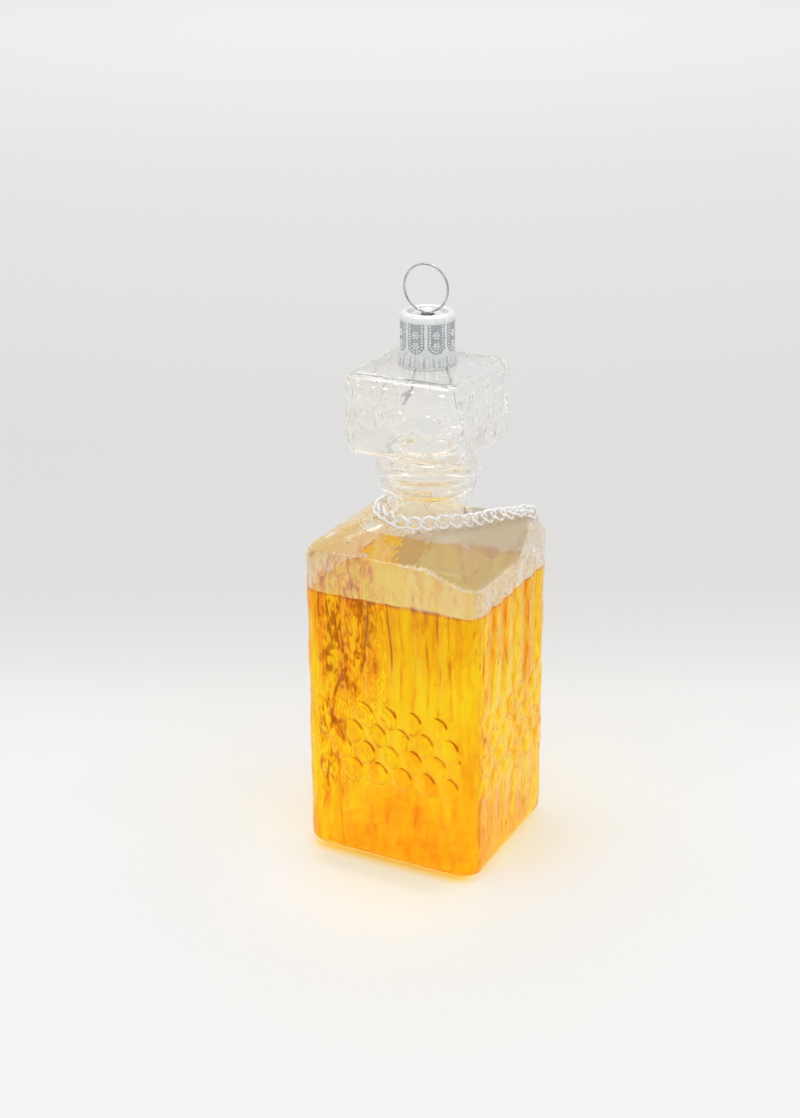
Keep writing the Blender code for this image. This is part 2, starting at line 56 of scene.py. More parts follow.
# Glass body and neck, as in the CAD
BODY_HALF = (21.95 * MM, 20.55 * MM)
CORNER_R, FOOT_R, EDGE_R = 4.0 * MM, 2.4 * MM, 3.5 * MM
WALL_TOP = 73.2 * MM
SLOPE = math.radians(21.0)
WALL = 1.1 * MM
NECK_R, NECK_WALL = 9.2 * MM, 0.9 * MM
LIP = (11.35 * MM, 88.3 * MM, 1.4 * MM)       # radius, height of its middle, radius of its rim
FLANGE = (12.2 * MM, 92.5 * MM, 2.1 * MM)
GROOVE_R, WAIST_R = 10.4 * MM, 8.6 * MM       # between the two, and above them
NECK_FOOT, NECK_FOOT_ROUND = 0.85, 0.8        # the square in the neck that the shoulder narrows to

# Stopper and pike
STOPPER_HALF, STOPPER_LOW, STOPPER_HIGH = 13.9 * MM, 96.8 * MM, 115.8 * MM
STOPPER_CORNER, STOPPER_ROUND, STOPPER_RISE, STOPPER_WALL = 2.2 * MM, 2.0 * MM, 0.5 * MM, 0.9 * MM
PIKE_R, PIKE_WALL, PIKE_ROOT_R = 5.2 * MM, 0.8 * MM, 5.7 * MM
PIKE_ROOT, PIKE_TOP = 1.2 * MM, 126.5 * MM

# Insets of body, neck, stopper and pike
OUTSIDE, INSIDE = (0, 0, 0, 0), (WALL, NECK_WALL, STOPPER_WALL, PIKE_WALL)

# Relief. A zone is the four heights that between() takes
PITCH = 6.2 * MM                              # across two neighbouring flutes' crests
UPPER_FLUTES = (39 * MM, 43.5 * MM, 69 * MM, 72.5 * MM)
LOWER_FLUTES = (4 * MM, 9 * MM, 17 * MM, 22 * MM)
DIAMONDS = (18.5 * MM, 21 * MM, 40 * MM, 43 * MM)
DIAMOND_LOW, DIAMOND_ROW, DIAMOND_ROWS = 22.5 * MM, 4.9 * MM, 4
DIAMOND_HALF = (2.9 * MM, 3.3 * MM)
BUMP, BUMPS, BUMP_ROWS = 0.75 * MM, 4, 3      # on each side of the stopper
WAVY_BODY = (3 * MM, 8 * MM, 70 * MM, 73 * MM)
WAVY_TOP = (76 * MM, 79 * MM, 117 * MM, 119 * MM)
INNER_RELIEF, INNER_SEED = 0.35, 9            # the softer copy on the inner wall

THIN_FROM = 79 * MM                           # neck and stopper are blown thinner than the body
FILM_TOP, FILM_DEEP = 65.6 * MM, 0.04 * MM    # the coat's edge, and how far it lies in the wall
SHOULDER_EDGE, STAINS_AND_PAINTED_LIGHT_TOP = 75.5 * MM, 84 * MM    # stains and painted light lie from the coat up on to the neck
AROUND, FILM_AROUND = 112, 150                # points on each quarter of a section
ROUND_APART = 9 * MM                          # sets the faces apart in the coat's fields

# Metal cap, its sunk panels, and the beads and florets in them
CAP_R, CAP_SHEET, CAP_RIM_R, CAP_RIM_ROUND = 6.1 * MM, 0.3 * MM, 5.0 * MM, 0.6 * MM
CAP_LOW, CAP_TOP, CAP_FLOOR, CAP_HOLE = 116.6 * MM, 128.0 * MM, 127.1 * MM, 1.6 * MM
CAP_PANELS, CAP_SKIRT, CAP_FLARE = 8, 3.2 * MM, 0.6 * MM
CAP_PLAIN = CAP_TOP - 1.2 * MM                # nothing is stamped above this
PANEL_PITCH = 2 * math.pi * CAP_R / CAP_PANELS
PANEL_HALF, PANEL_TOP, PANEL_LOW = 0.42 * PANEL_PITCH, CAP_TOP - 1.9 * MM, CAP_LOW + 2.9 * MM
BEAD_R, BEAD_STEP, BEAD_INSET = 0.27 * MM, 0.60 * MM, 0.52 * MM
FLORET_R, PETAL_R, FLORET_RISES = 0.62 * MM, 0.29 * MM, (1.75 * MM, 4.15 * MM)
PANEL_DEEP, BEAD_HIGH, PETAL_HIGH, CRINKLE = 0.16 * MM, 0.26 * MM, 0.28 * MM, 0.16 * MM

# Hanger and chain
WIRE_R, RING_R, RING_LIFT, LEG_PITCH, BEND_R = 0.24 * MM, 5.3 * MM, 0.2 * MM, 1.8 * MM, 0.7 * MM
LEG_SPREAD, LEG_TIP, LEG_POWER, LEAN = 6.5 * MM, 106.0 * MM, 1.25, math.radians(4.0)
RING_RISE = RING_LIFT + WIRE_R + RING_R       # the ring's middle over the cap's floor
CHAIN_WIRE, LINK_WIDTH, LINK_TWIST = 0.23 * MM, 3.3 * MM, math.radians(45.0)
CHAIN_BOLD = 1.4                              # the wire is drawn this much bolder than the CAD's

# Camera, as fitted to the photograph: pixels, then millimetres from a point on the axis
FOCAL_PX, FRAME_PX, SENSOR = 1859, 1118, 36
VIEW_AZ, VIEW_TILT, VIEW_ROLL = math.radians(26.94), math.radians(21.9), math.radians(-0.33)
VIEW_HEIGHT, VIEW_BACK, VIEW_RIGHT, VIEW_UP = 61, 431.04, -6.35, 7.79

FLOOR_Z = -0.05 * MM
MOST_TURNS, MOST_WALLS = 1.5, 6.5             # light that met more is let out, or ends bright


def lerp(a, b, t):
    return a + (b - a) * t


def ease(low, high, x):
    """A smooth step from 0 at low to 1 at high."""
    t = np.clip((x - low) / (high - low), 0, 1)
    return t * t * (3 - 2 * t)


def between(start, full, end, gone, x):
    """0 up to start, 1 from full to end, and 0 again from gone on."""
    return ease(start, full, x) * (1 - ease(end, gone, x))


def soft(x, width):
    """A soft line, 1 at x = 0, that fades over about its width."""
    return np.exp(-(x / width) ** 2)


def bell(x):
    """A round hump, 1 at x = 0 and gone from 1 on."""
    return np.clip(1 - x * x, 0, 1) ** 2


def off_whole(x):
    """How far each value lies from the nearest whole number."""
    return x - np.round(x)


def waves(x, y, z, scale, seed, terms=14):
    """A smooth irregular field of about -1 to 1, as a fixed sum of slanted waves."""
    rng = np.random.default_rng(seed)
    total = 0
    for _ in range(terms):
        way = rng.normal(size=3)
        way *= rng.uniform(0.6, 1.6) / np.linalg.norm(way) / scale
        slant = x * way[0] + y * way[1] + z * way[2]
        total = total + np.sin(2 * math.pi * slant + rng.uniform(0, 6.28))
    return total / math.sqrt(terms)


# ---- The glass's sections, from the foot up

def section(half_x, half_y, radius, quarter):
    """Points and outward directions round a rounded rectangle, evenly spaced along each quarter."""
    radius = min(radius, half_x, half_y)
    t = np.arange(quarter) / quarter
    side, arc, top = half_y - radius, radius * math.pi / 2, half_x - radius
    s = t * (side + arc + top)
    turn = np.clip((s - side) / max(arc, 1e-9), 0, 1) * math.pi / 2
    x = half_x - radius + radius * np.cos(turn) - np.clip(s - side - arc, 0, None)
    y = np.minimum(s, side) + radius * np.sin(turn)
    first = np.stack([x, y, np.cos(turn), np.sin(turn)], 1)
    back = np.concatenate([[[0, half_y, 0, 1]], first[:0:-1] * [-1, 1, -1, 1]])
    half = np.concatenate([first, back])
    ring = np.concatenate([half, -half])
    return ring[:, :2], ring[:, 2:]


def inner_corner(radius, inset):
    return max(radius - inset, radius / 4)


def body_plan(inset, depth):
    """Half x, half y and corner radius of the body's section, depth in from its widest. The square
    that the shoulder narrows to lies within the neck."""
    neck_r = (NECK_R - inset) * NECK_FOOT
    end = BODY_HALF[0] - neck_r
    share = max(0, (depth - inset) / (end - inset))
    half_y = lerp(BODY_HALF[1] - inset, neck_r, share) if share else BODY_HALF[1] - depth
    corner = lerp(inner_corner(CORNER_R, inset), neck_r * NECK_FOOT_ROUND, share)
    return BODY_HALF[0] - depth, half_y, corner


def body_stations(inset, neck_inset, rows):
    """From near the foot's middle, up the wall and over the shoulder to the neck."""
    out = []
    hx, hy, r = body_plan(inset, FOOT_R)
    for share in np.linspace(0.06, 0.94, 5):
        rounding = r * share + (1 - share) * hx * share * 0.5
        out.append((hx * share, hy * share, rounding, inset))
    foot_r = FOOT_R - inset
    for t in np.linspace(0, math.pi / 2, 9):
        depth = FOOT_R - foot_r * math.sin(t)
        out.append((*body_plan(inset, depth), FOOT_R - foot_r * math.cos(t)))
    for z in np.linspace(FOOT_R, WALL_TOP, rows)[1:-1]:
        out.append((*body_plan(inset, inset), z))
    edge_r = EDGE_R - inset
    for t in np.linspace(0, math.pi / 2 - SLOPE, 10):
        depth, z = EDGE_R - edge_r * math.cos(t), WALL_TOP + edge_r * math.sin(t)
        out.append((*body_plan(inset, depth), z))
    for d in np.linspace(depth, BODY_HALF[0] - (NECK_R - neck_inset), 26)[1:]:
        out.append((*body_plan(inset, d), z + (d - depth) * math.tan(SLOPE)))
    return out


def rim(radius, height, round_r, inset):
    """Up a turned ring's half-round rim."""
    reach = round_r - inset
    return [(radius - round_r + reach * math.cos(t), height + reach * math.sin(t))
            for t in np.linspace(-math.pi / 2, math.pi / 2, 15)]


def softened(profile, rounds=2, step=0.25 * MM):
    """An open profile of (r, z) points, resampled evenly and smoothed, with its ends kept."""
    points = np.array(profile)
    run = np.r_[0, np.cumsum(np.linalg.norm(np.diff(points, axis=0), axis=1))]
    at = np.linspace(0, run[-1], max(4, int(run[-1] / step)))
    even = np.stack([np.interp(at, run, points[:, k]) for k in (0, 1)], 1)
    for _ in range(rounds):
        even[1:-1] = (even[:-2] + even[1:-1] * 2 + even[2:]) / 4
    return even


def neck_stations(inset, stopper_inset, square):
    """From the shoulder's last, square station up over lip and flange to the stopper."""
    neck_r, waist = NECK_R - inset, WAIST_R - inset
    groove_z = (FLANGE[1] - FLANGE[2] + LIP[1] + LIP[2]) / 2
    neck = softened([
        (neck_r, square[3]), (neck_r, LIP[1] - LIP[2]), *rim(*LIP, inset)[1:-1],
        (GROOVE_R - inset, groove_z), *rim(*FLANGE, inset)[1:-1],
        (waist, FLANGE[1] + FLANGE[2]), (waist, STOPPER_LOW + stopper_inset)])
    out = []
    for k, (r, z) in enumerate(neck[1:]):
        settle = min(1, (k + 1) / 8) ** 0.5
        out.append((*(lerp(size, r, settle) for size in square[:3]), z))
    return out


def stopper_stations(inset, neck_inset):
    """Out from the neck and up the stopper's sides to its upper edge."""
    corner = inner_corner(STOPPER_CORNER, inset)
    flat, round_r = STOPPER_HALF - STOPPER_ROUND, STOPPER_ROUND - inset
    low, high = STOPPER_LOW + STOPPER_ROUND, STOPPER_HIGH - STOPPER_ROUND
    out = []
    for share in np.linspace(0, 1, 9)[1:-1]:
        size = lerp(WAIST_R - neck_inset, flat, share)
        out.append((size, size, lerp(size, corner, share ** 0.5), STOPPER_LOW + inset))
    for t in np.linspace(0, math.pi / 2, 8):
        size = flat + round_r * math.sin(t)
        out.append((size, size, corner, low - round_r * math.cos(t)))
    for z in np.linspace(low, high, 28 if inset else 56)[1:-1]:
        out.append((STOPPER_HALF - inset, STOPPER_HALF - inset, corner, z))
    for t in np.linspace(math.pi / 2, 0, 8):
        size = flat + round_r * math.sin(t)
        out.append((size, size, corner, high + round_r * math.cos(t)))
    return out


def pike_stations(inset, stopper_inset):
    """In over the stopper's low dome and up the pike to its rim."""
    corner = inner_corner(STOPPER_CORNER, stopper_inset)
    pike_r, root_r = PIKE_R - inset, PIKE_ROOT_R - inset
    dome = STOPPER_HIGH + STOPPER_RISE
    out = []
    for share in np.linspace(0, 1, 10)[1:]:
        size = lerp(STOPPER_HALF - STOPPER_ROUND, root_r, share)
        z = STOPPER_HIGH - stopper_inset + STOPPER_RISE * share
        out.append((size, size, lerp(corner, size, share ** 1.5), z))
    for share in np.linspace(0, 1, 7)[1:]:
        r = lerp(root_r, pike_r, 1 - (1 - share) ** 2)
        out.append((r, r, r, lerp(dome - stopper_inset, dome + PIKE_ROOT, share)))
    for z in np.linspace(dome + PIKE_ROOT, PIKE_TOP, 10)[1:]:
        out.append((pike_r, pike_r, pike_r, z))
    return out


def shell_stations(insets, rows):
    """(half x, half y, corner radius, height) up the glass, from near the foot's middle to the
    pike's rim."""
    inset, neck_inset, stopper_inset, pike_inset = insets
    body = body_stations(inset, neck_inset, rows)
    return [*body, *neck_stations(neck_inset, stopper_inset, body[-1]),
            *stopper_stations(stopper_inset, neck_inset), *pike_stations(pike_inset, stopper_inset)]


# ---- Relief

def across(place, out):
    """How far right each point lies on its face, seen from outside."""
    on_x = np.abs(out[:, 0]) > np.abs(out[:, 1])
    return np.where(on_x, place[:, 1] * np.sign(out[:, 0]), -place[:, 0] * np.sign(out[:, 1]))


def on_face(out):
    """True on a flat face and False round a corner."""
    return np.abs(out).max(1) > 0.999


def wander(along, z):
    """The flutes aren't quite straight."""
    return along + 0.35 * MM * np.sin(2 * math.pi * z / (31 * MM) + along / (9 * MM))


def diamonds(phase, z):
    """Row by row, how far right and up each point lies from the middle of its nearest diamond."""
    for row in range(DIAMOND_ROWS):
        shift = 0.0 if row % 2 else 0.5
        yield off_whole(phase - shift) * PITCH, z - (DIAMOND_LOW + row * DIAMOND_ROW)


def body_relief(place, out, z):
    """How far the moulded relief of the body's faces stands out: flutes above and below a band of
    staggered diamonds. It fades at the corners and at the ends of the wall. Its depths are in mm
    until the end."""
    along = across(place, out)
    half = np.where(np.abs(out[:, 0]) > np.abs(out[:, 1]), BODY_HALF[1], BODY_HALF[0])
    corner = 1 - ease(-CORNER_R * 1.25, -CORNER_R * 0.75, np.abs(along) - half)
    phase = wander(along, z) / PITCH
    crest = np.abs(np.cos(math.pi * (phase + 0.5)))
    upper = between(*UPPER_FLUTES, z) * (0.32 * crest - 0.34 * soft(off_whole(phase), 0.13))
    lower = between(*LOWER_FLUTES, z) * 0.13 * (1 + np.cos(2 * math.pi * phase))
    band = np.zeros_like(along)
    for u, v in diamonds(phase, z):
        lean = u + 0.12 * v
        inside = 1 - np.abs(lean / DIAMOND_HALF[0]) ** 1.8 - np.abs(v / DIAMOND_HALF[1]) ** 1.8
        band = np.maximum(band, ease(0, 0.75, inside))
    height = upper - lower + between(*DIAMONDS, z) * (0.50 * band - 0.08)
    return height * (on_face(out) * corner) * MM


def stopper_relief(place, out, z):
    """Round bumps in rows on each side of the stopper, the middle row moved by half a bump."""
    along = across(place, out)
    wide = 2 * STOPPER_HALF / BUMPS
    tall = (STOPPER_HIGH - STOPPER_LOW - 2 * STOPPER_ROUND) / BUMP_ROWS
    row, up = divmod((z - STOPPER_LOW - STOPPER_ROUND) / tall, 1)
    if not 0 <= row < BUMP_ROWS:
        return np.zeros_like(along)
    u = 2 * ((along / wide + (0.5 if row % 2 else 0)) % 1) - 1
    v = 2 * up - 1
    bumps = BUMP * np.sqrt(np.clip(1 - u * u - v * v, 0, 1)) * on_face(out)
    return bumps * (1 - ease(0.9, 1, np.abs(along) / STOPPER_HALF))


def glass_rings(stations, quarter, relief_share, seed):
    """A ring of points at each station, with its relief and the slight waviness of blown glass."""
    rings = []
    for half_x, half_y, radius, z in stations:
        place, out = section(half_x, half_y, radius, quarter)
        x, y = place[:, 0], place[:, 1]
        push = np.zeros(len(place))
        if FOOT_R < z < WALL_TOP:
            push = body_relief(place, out, z) * relief_share
        elif STOPPER_LOW < z < STOPPER_HIGH:
            push = stopper_relief(place, out, z) * relief_share
        body, top = between(*WAVY_BODY, z), between(*WAVY_TOP, z)
        wave = waves(x, y, z, 11 * MM, seed) * body * 0.10 * MM
        wave = wave + waves(x, y, z, 7 * MM, seed + 1) * top * 0.05 * MM
        wave = wave + waves(x, y, z * 0.7, 2.6 * MM, seed + 2) * body * 0.035 * MM
        reach = place + out * (push + wave)[:, None]
        rings.append(np.c_[reach, np.full(len(place), z)])
    return np.array(rings)


# ---- What the materials read at each vertex

def facing(out):
    """The direction that each point faces, as an angle round the axis."""
    return np.arctan2(out[:, 1].round(3), out[:, 0].round(3))


def wall_field(along, turn, z):
    """Makes irregular fields over the wall, by upright stretch, size in mm and seed."""
    def field(stretch, size, seed):
        return waves(along, turn * ROUND_APART, z * stretch, size * MM, seed)
    return field


def blots(along, turn, z, left):
    """Where the lacquer's brush left chains of short dark marks, strongest on the left of a face.
    Also gives the lines that they follow, as a phase, and the distance from the nearest one."""
    field = wall_field(along, turn, z)
    bend, fine = field(0.42, 6, 31), field(0.3, 2.6, 32)
    sway = bend * lerp(0.3, 1.3, left) * MM + fine * lerp(0.06, 0.3, left) * MM
    phase = (wander(along, z) + sway) / PITCH * 2
    near = np.abs(off_whole(phase)) * PITCH / 2
    marks = np.zeros_like(along)
    for shift, seed in ((0.0, 34), (0.45, 54)):
        mottle = field(0.55, 1.4, seed)
        swing = field(0.7, 4.5, seed + 1) * 0.9 * MM
        other = phase + shift + swing / PITCH * 2 * (shift > 0)
        ragged = np.abs(off_whole(other)) * PITCH / 2 + 0.16 * MM * mottle
        chain = np.clip(1.4 * soft(ragged, 0.5 * MM), 0, 1) * ease(-0.5, 0.4, mottle + 0.5 * fine)
        marks = np.maximum(marks, chain * (1 - shift / 2))
    flecks = field(0.45, 1.1, 58) + 0.5 * field(0.3, 3, 59)
    marks = np.maximum(marks, 0.55 * ease(0.1, 0.8, flecks)) * ease(5 * MM, 20 * MM, z)
    front = ease(-0.2, 0.9, np.cos(turn + math.pi / 2))
    return marks * left * lerp(0.2, 1.0, front), phase, near


def pooling(place, out, z):
    """How deep the lacquer lies, from 0 to 1. It pools in broken, wandering lines in the grooves
    between flutes, along the upper edge of each diamond and along its own top edge."""
    along, turn = across(place, out), facing(out)
    high = ease(36 * MM, 50 * MM, z)
    left = 1 - ease(lerp(-14, -8, high) * MM, lerp(-6, 2, high) * MM, along)
    right = ease(0.5, 0.9, out[:, 0])
    marks, phase, near = blots(along, turn, z, left)
    broken = np.clip(0.45 + 0.55 * wall_field(along, turn, z)(0.5, 5, 33), 0, 1)
    every = np.where(np.round(phase) % 2 == 0, 1.0, 0.55)
    # Lines in the grooves, and the brush's marks
    lines = soft(near, lerp(0.38, 0.22, right) * MM) * broken * every * lerp(0.75, 1.0, left)
    lines = np.maximum(lines, marks * np.clip(broken + 0.35, 0, 1))
    low = between(3 * MM, 6 * MM, 17 * MM, 21 * MM, z)
    zone = ease(39 * MM, 42 * MM, z) + lerp(0.35, 0.7, right) * low
    lines = lines * np.maximum(zone, left * 0.9)
    grooves = wander(along, z) / PITCH
    lines = np.maximum(lines, 0.16 * zone * soft(off_whole(grooves), 0.22))
    # A hooked stroke, a fainter arc and a slightly deeper cell at each diamond
    strokes = np.zeros_like(along)
    for u, v in diamonds(grooves, z):
        u = u * np.where(right > 0.5, -1, 1)      # strokes lean the other way on the right face
        angle = np.degrees(np.arctan2(v, u + 0.5 * MM))
        off = np.hypot(u + 0.5 * MM, v / 1.05) - 2.55 * MM
        thick = lerp(0.38, 0.20, ease(30, 100, angle)) * MM
        hook = soft(off, thick) * between(2, 22, 88, 112, angle)
        faint = 0.32 * soft(off, 0.35 * MM) * between(-170, -130, -40, -5, angle)
        cell = 0.14 * bell(np.hypot(u, v) / (1.5 * MM))
        strokes = np.maximum.reduce([strokes, hook, faint, cell])
    face = lerp(0.3, 1.0, ease(-0.6, 0.9, np.cos(turn + math.radians(70))))
    strokes = strokes * (1 - left * 0.5) * (0.7 + 0.3 * broken) * face
    # Deeper along the top edge, a little deeper at the foot and high up
    brim = 0.3 * ease(FILM_TOP - 0.9 * MM, FILM_TOP - 0.2 * MM, z)
    tone = 0.05 * (1 - ease(12 * MM, 24 * MM, z))
    tone = tone + lerp(0.04, 0.17, face) * (1 - right) * ease(44 * MM, 60 * MM, z)
    deep = np.where(on_face(out), np.maximum(lines, strokes), 0.05)
    return np.clip(deep + brim + tone, 0, 1)


def ridge_height(x, y, out, ragged):
    """Where the wall's stains give way to the shoulder's stains and painted reflection, in a ragged
    line along the shoulder's edge; the painted highlight follows it too. The line is straight on
    the two sides that the photograph doesn't show."""
    on_front = SHOULDER_EDGE - 3.1 * MM * ease(7 * MM, 21 * MM, x)
    on_right = 72.1 * MM + 4.6 * MM * ease(-4 * MM, 15 * MM, y)
    height = lerp(on_front, on_right, ease(0.55, 0.85, out[:, 0])) + ragged
    return np.where((out[:, 1] > 0.6) | (out[:, 0] < -0.6), SHOULDER_EDGE, height)


def stopper_painted_highlight(x, y, z, n1, n2):
    """A painted highlight along the stopper's upper edge, and a fainter one along its lower edge,
    as a white veil.
    """
    edge = soft(z - STOPPER_HIGH + 0.9 * MM, 0.35 * MM)
    edge = edge + 0.5 * soft(z - STOPPER_LOW - 0.9 * MM, 0.4 * MM)
    square = ease(11 * MM, 12.5 * MM, np.hypot(x, y))
    return 0.75 * edge * square * ease(-0.3, 0.8, n1 + 0.5 * n2)


def shoulder_stains_and_painted_reflection(x, y, z, roof, front, n1, n2, n3):
    """A grey sheet of painted reflection and shade over the shoulder's right half, with a browner
    ragged band at its edge, and amber patches over its left half, whole near the wall and broken
    near the neck."""
    ragged_x = x + (1.3 * MM * n1 + 0.7 * MM * n2 + 0.4 * MM * n3)
    # The grey sheet is painted reflection and shade, not a dried film
    sheet = roof * ease(5.5 * MM, 7 * MM, ragged_x) * ease(9.5 * MM, 11 * MM, np.hypot(x, y))
    brown_edge = roof * between(0, 1.5 * MM, 6 * MM, 8 * MM, ragged_x) * front
    reach = lerp(0.9, -0.7, (z - 74.5 * MM) / (6.5 * MM)) - 1.2 * ease(15 * MM, 19 * MM, -x)
    patches = ease(-0.12, 0.12, 0.6 * n1 + 0.35 * n2 + 0.2 * n3 + reach)
    patches = patches * roof * (1 - ease(-1 * MM, 1.5 * MM, ragged_x))
    veil = np.maximum.reduce([0.55 * sheet, 0.36 * brown_edge, 0.34 * patches])
    return veil, 0.9 * patches, np.maximum(0.10 * sheet, 0.62 * patches), 0.85 * brown_edge


def band_stains(place, out, z, band, n3):
    """A thin veil with amber streaks between the coat and the shoulder's edge, whiter in streaks on
    the right-facing side. Chains of brown marks carry on up into it from the coat."""
    x, y, along = place[:, 0], place[:, 1], across(place, out)
    faces_right = ease(0.55, 0.85, out[:, 0])
    streak_field = waves(y * 2.2 + z * 1.4, x, z, 2.0 * MM, 47)
    right_streaks = faces_right * np.clip(0.30 + 0.5 * streak_field + 0.25 * n3, 0.1, 0.8)
    veil = np.maximum(0.18 + 0.14 * ease(-10 * MM, 16 * MM, x), right_streaks)
    streaks = ease(-0.3, 0.9, waves(x, y, z * 0.15, 2.4 * MM, 48))
    amber = (0.08 + 0.24 * streaks) * (1 - faces_right)
    marks, _, _ = blots(along, facing(out), z, 1 - ease(-8 * MM, 0, along))
    return band * veil, band * 0.85, band * amber, band * marks


def stains_and_painted_light(place, out, z):
    """What dulls or paints the outside of the clear glass above the coat, each as 0 to 1: a veil,
    how white that veil is, an amber stain and a browner one. The veil is partly dried stains and
    partly painted light: a grey painted reflection over the shoulder's right half and painted
    highlights along the shoulder's edge and the stopper's edges."""
    x, y = place[:, 0], place[:, 1]
    none = np.zeros(len(x))
    if z < FILM_TOP or STAINS_AND_PAINTED_LIGHT_TOP < z < STOPPER_LOW:
        return none, none, none, none
    # Irregular fields, from coarse to fine
    n1, n2, n3 = (waves(x, y, z, size * MM, 40 + k) for k, size in enumerate((5.0, 2.0, 0.9)))
    if z > STOPPER_LOW:
        return stopper_painted_highlight(x, y, z, n1, n2), none + 1, none, none
    front = ease(8 * MM, 13 * MM, -y)
    ridge_z = ridge_height(x, y, out, 0.12 * MM * n2)
    roof = ease(-0.2 * MM, 0.3 * MM, z - ridge_z)
    band = ease(FILM_TOP, FILM_TOP + 0.5 * MM, z) * (1 - roof)
    # A painted highlight, rough and bright, follows the shoulder's edge round the right-hand corner
    there = np.where(out[:, 0] > 0.6, ease(1 * MM, 4 * MM, -y), front * ease(2 * MM, 5 * MM, x))
    painted_ridge_highlight = soft(z - ridge_z, 0.33 * MM) * there * np.clip(0.85 + 0.5 * n3, 0.2, 1)
    return np.maximum.reduce([
        shoulder_stains_and_painted_reflection(x, y, z, roof, front, n1, n2, n3), band_stains(place, out, z, band, n3),
        (0.98 * painted_ridge_highlight, ease(0.05, 0.25, painted_ridge_highlight), none, none)])


# ---- Meshes

def loft(rings):
    """Vertices and quads through rings of equal length, given as an array of (ring, point, 3)."""
    count, around = rings.shape[:2]
    i = np.arange(around)
    j = (i + 1) % around
    quads = []
    for low in range(0, (count - 1) * around, around):
        high = low + around
        quads.append(np.stack([low + i, low + j, high + j, high + i], 1))
    return rings.reshape(-1, 3), np.concatenate(quads)


def make_mesh(name, verts, quads, caps=(), smooth=True):
    mesh = bpy.data.meshes.new(name)
    faces = quads.tolist() + [list(map(int, cap)) for cap in caps]
    mesh.from_pydata(verts.tolist(), [], faces)
    mesh.validate()
    if smooth:
        mesh.shade_smooth()
    obj = bpy.data.objects.new(name, mesh)
    bpy.context.scene.collection.objects.link(obj)
    return obj


def record(obj, name, amounts):
    """Keeps a number for each vertex, under a name that the materials read."""
    obj.data.attributes.new(name, "FLOAT", "POINT").data.foreach_set("value", amounts)


def make_glass(body, upper):
    """One closed shell: the outside up to the pike's rim, then down the inside to the foot."""
    stations = shell_stations(OUTSIDE, rows=190)
    outer = glass_rings(stations, AROUND, relief_share=1.0, seed=3)
    inner = glass_rings(shell_stations(INSIDE, rows=100), AROUND, INNER_RELIEF, INNER_SEED)
    rings = np.concatenate([outer, inner[::-1]])
    verts, quads = loft(rings)
    around = rings.shape[1]
    last = len(verts) - around
    ends = [range(around - 1, -1, -1), range(last, last + around)]
    obj = make_mesh("glass_decanter", verts, quads, ends)
    obj.data.materials.append(body)
    obj.data.materials.append(upper)
    thin = np.r_[verts[quads[:, 0], 2] > THIN_FROM, 0, 0].astype(np.int32)
    obj.data.polygons.foreach_set("material_index", thin)
    # veil and white carry painted reflection and painted highlights as well as stains
    dulled = [np.stack(stains_and_painted_light(*section(*s[:3], AROUND), s[3])) for s in stations]
    for name, amounts in zip(("veil", "white", "amber", "brown"), np.concatenate(dulled, 1)):
        whole = np.zeros(len(verts))
        whole[:len(amounts)] = np.clip(amounts, 0, 1)
        record(obj, name, whole)
    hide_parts("glass_shell")
    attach(obj, "glass")


def make_film(material):
    """The lacquer coat: one open skin with a brushed, nearly level edge. It lies just inside the
    glass's wall, so light that turns back at the inner face is tinted too."""
    inset = WALL - FILM_DEEP
    stations = [s for s in body_stations(inset, NECK_WALL, rows=220) if s[3] < FILM_TOP]
    stations.append((*body_plan(inset, inset), FILM_TOP))
    rings = glass_rings(stations, FILM_AROUND, INNER_RELIEF, INNER_SEED)
    rings[-1, :, 2] += waves(rings[-1, :, 0], rings[-1, :, 1], 0, 16 * MM, 21) * 0.25 * MM
    verts, quads = loft(rings)
    obj = make_mesh("amber_coat", verts, quads, [range(rings.shape[1] - 1, -1, -1)])
    depth = [pooling(*section(*s[:3], FILM_AROUND), s[3]) for s in stations]
    record(obj, "pooling", np.concatenate(depth))
    obj.data.materials.append(material)
    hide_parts("amber_lacquer")
    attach(obj, "glass")


def cap_profile():
    """(r, z) from the hole's edge out over the rim and down to the skirt, without its stamping."""
    floor, shoulder = CAP_RIM_R - 2 * CAP_RIM_ROUND - CAP_HOLE, CAP_R - CAP_RIM_R
    skirt = CAP_LOW + CAP_SKIRT
    points = [(CAP_HOLE + floor * t, CAP_FLOOR) for t in np.linspace(0, 1, 6)]
    for radius, turns in ((CAP_RIM_ROUND, np.linspace(math.pi, math.pi / 2, 8)),
                          (shoulder, np.linspace(math.pi / 2, 0, 12)[1:])):
        points += [(CAP_RIM_R + radius * math.cos(t), CAP_TOP - radius + radius * math.sin(t))
                   for t in turns]
    points += [(CAP_R, z) for z in np.linspace(CAP_TOP - shoulder, skirt, 80)[1:]]
    points += [(CAP_R + CAP_FLARE * t ** 1.4, lerp(skirt, CAP_LOW, t))
               for t in np.linspace(0, 1, 16)[1:]]
    return points


def dots(u, v, places, size):
    """Round beads at places on the unrolled wall, as a height of 0 to 1."""
    height = np.zeros_like(u)
    for x, y in places:
        height = np.maximum(height, np.clip(1 - ((u - x) ** 2 + (v - y) ** 2) / size ** 2, 0, 1))
    return height ** 0.7


def panel_beads(half, top, low):
    """Bead places along a panel's two sides and round its lower end."""
    run = np.arange(top, low + half, -BEAD_STEP)
    places = [(-half, y) for y in run] + [(half, y) for y in run]
    count = int(math.pi * half / BEAD_STEP)
    for k in range(count + 1):
        t = math.pi * k / count
        places.append((half * math.cos(t), low + half - half * math.sin(t)))
    return places


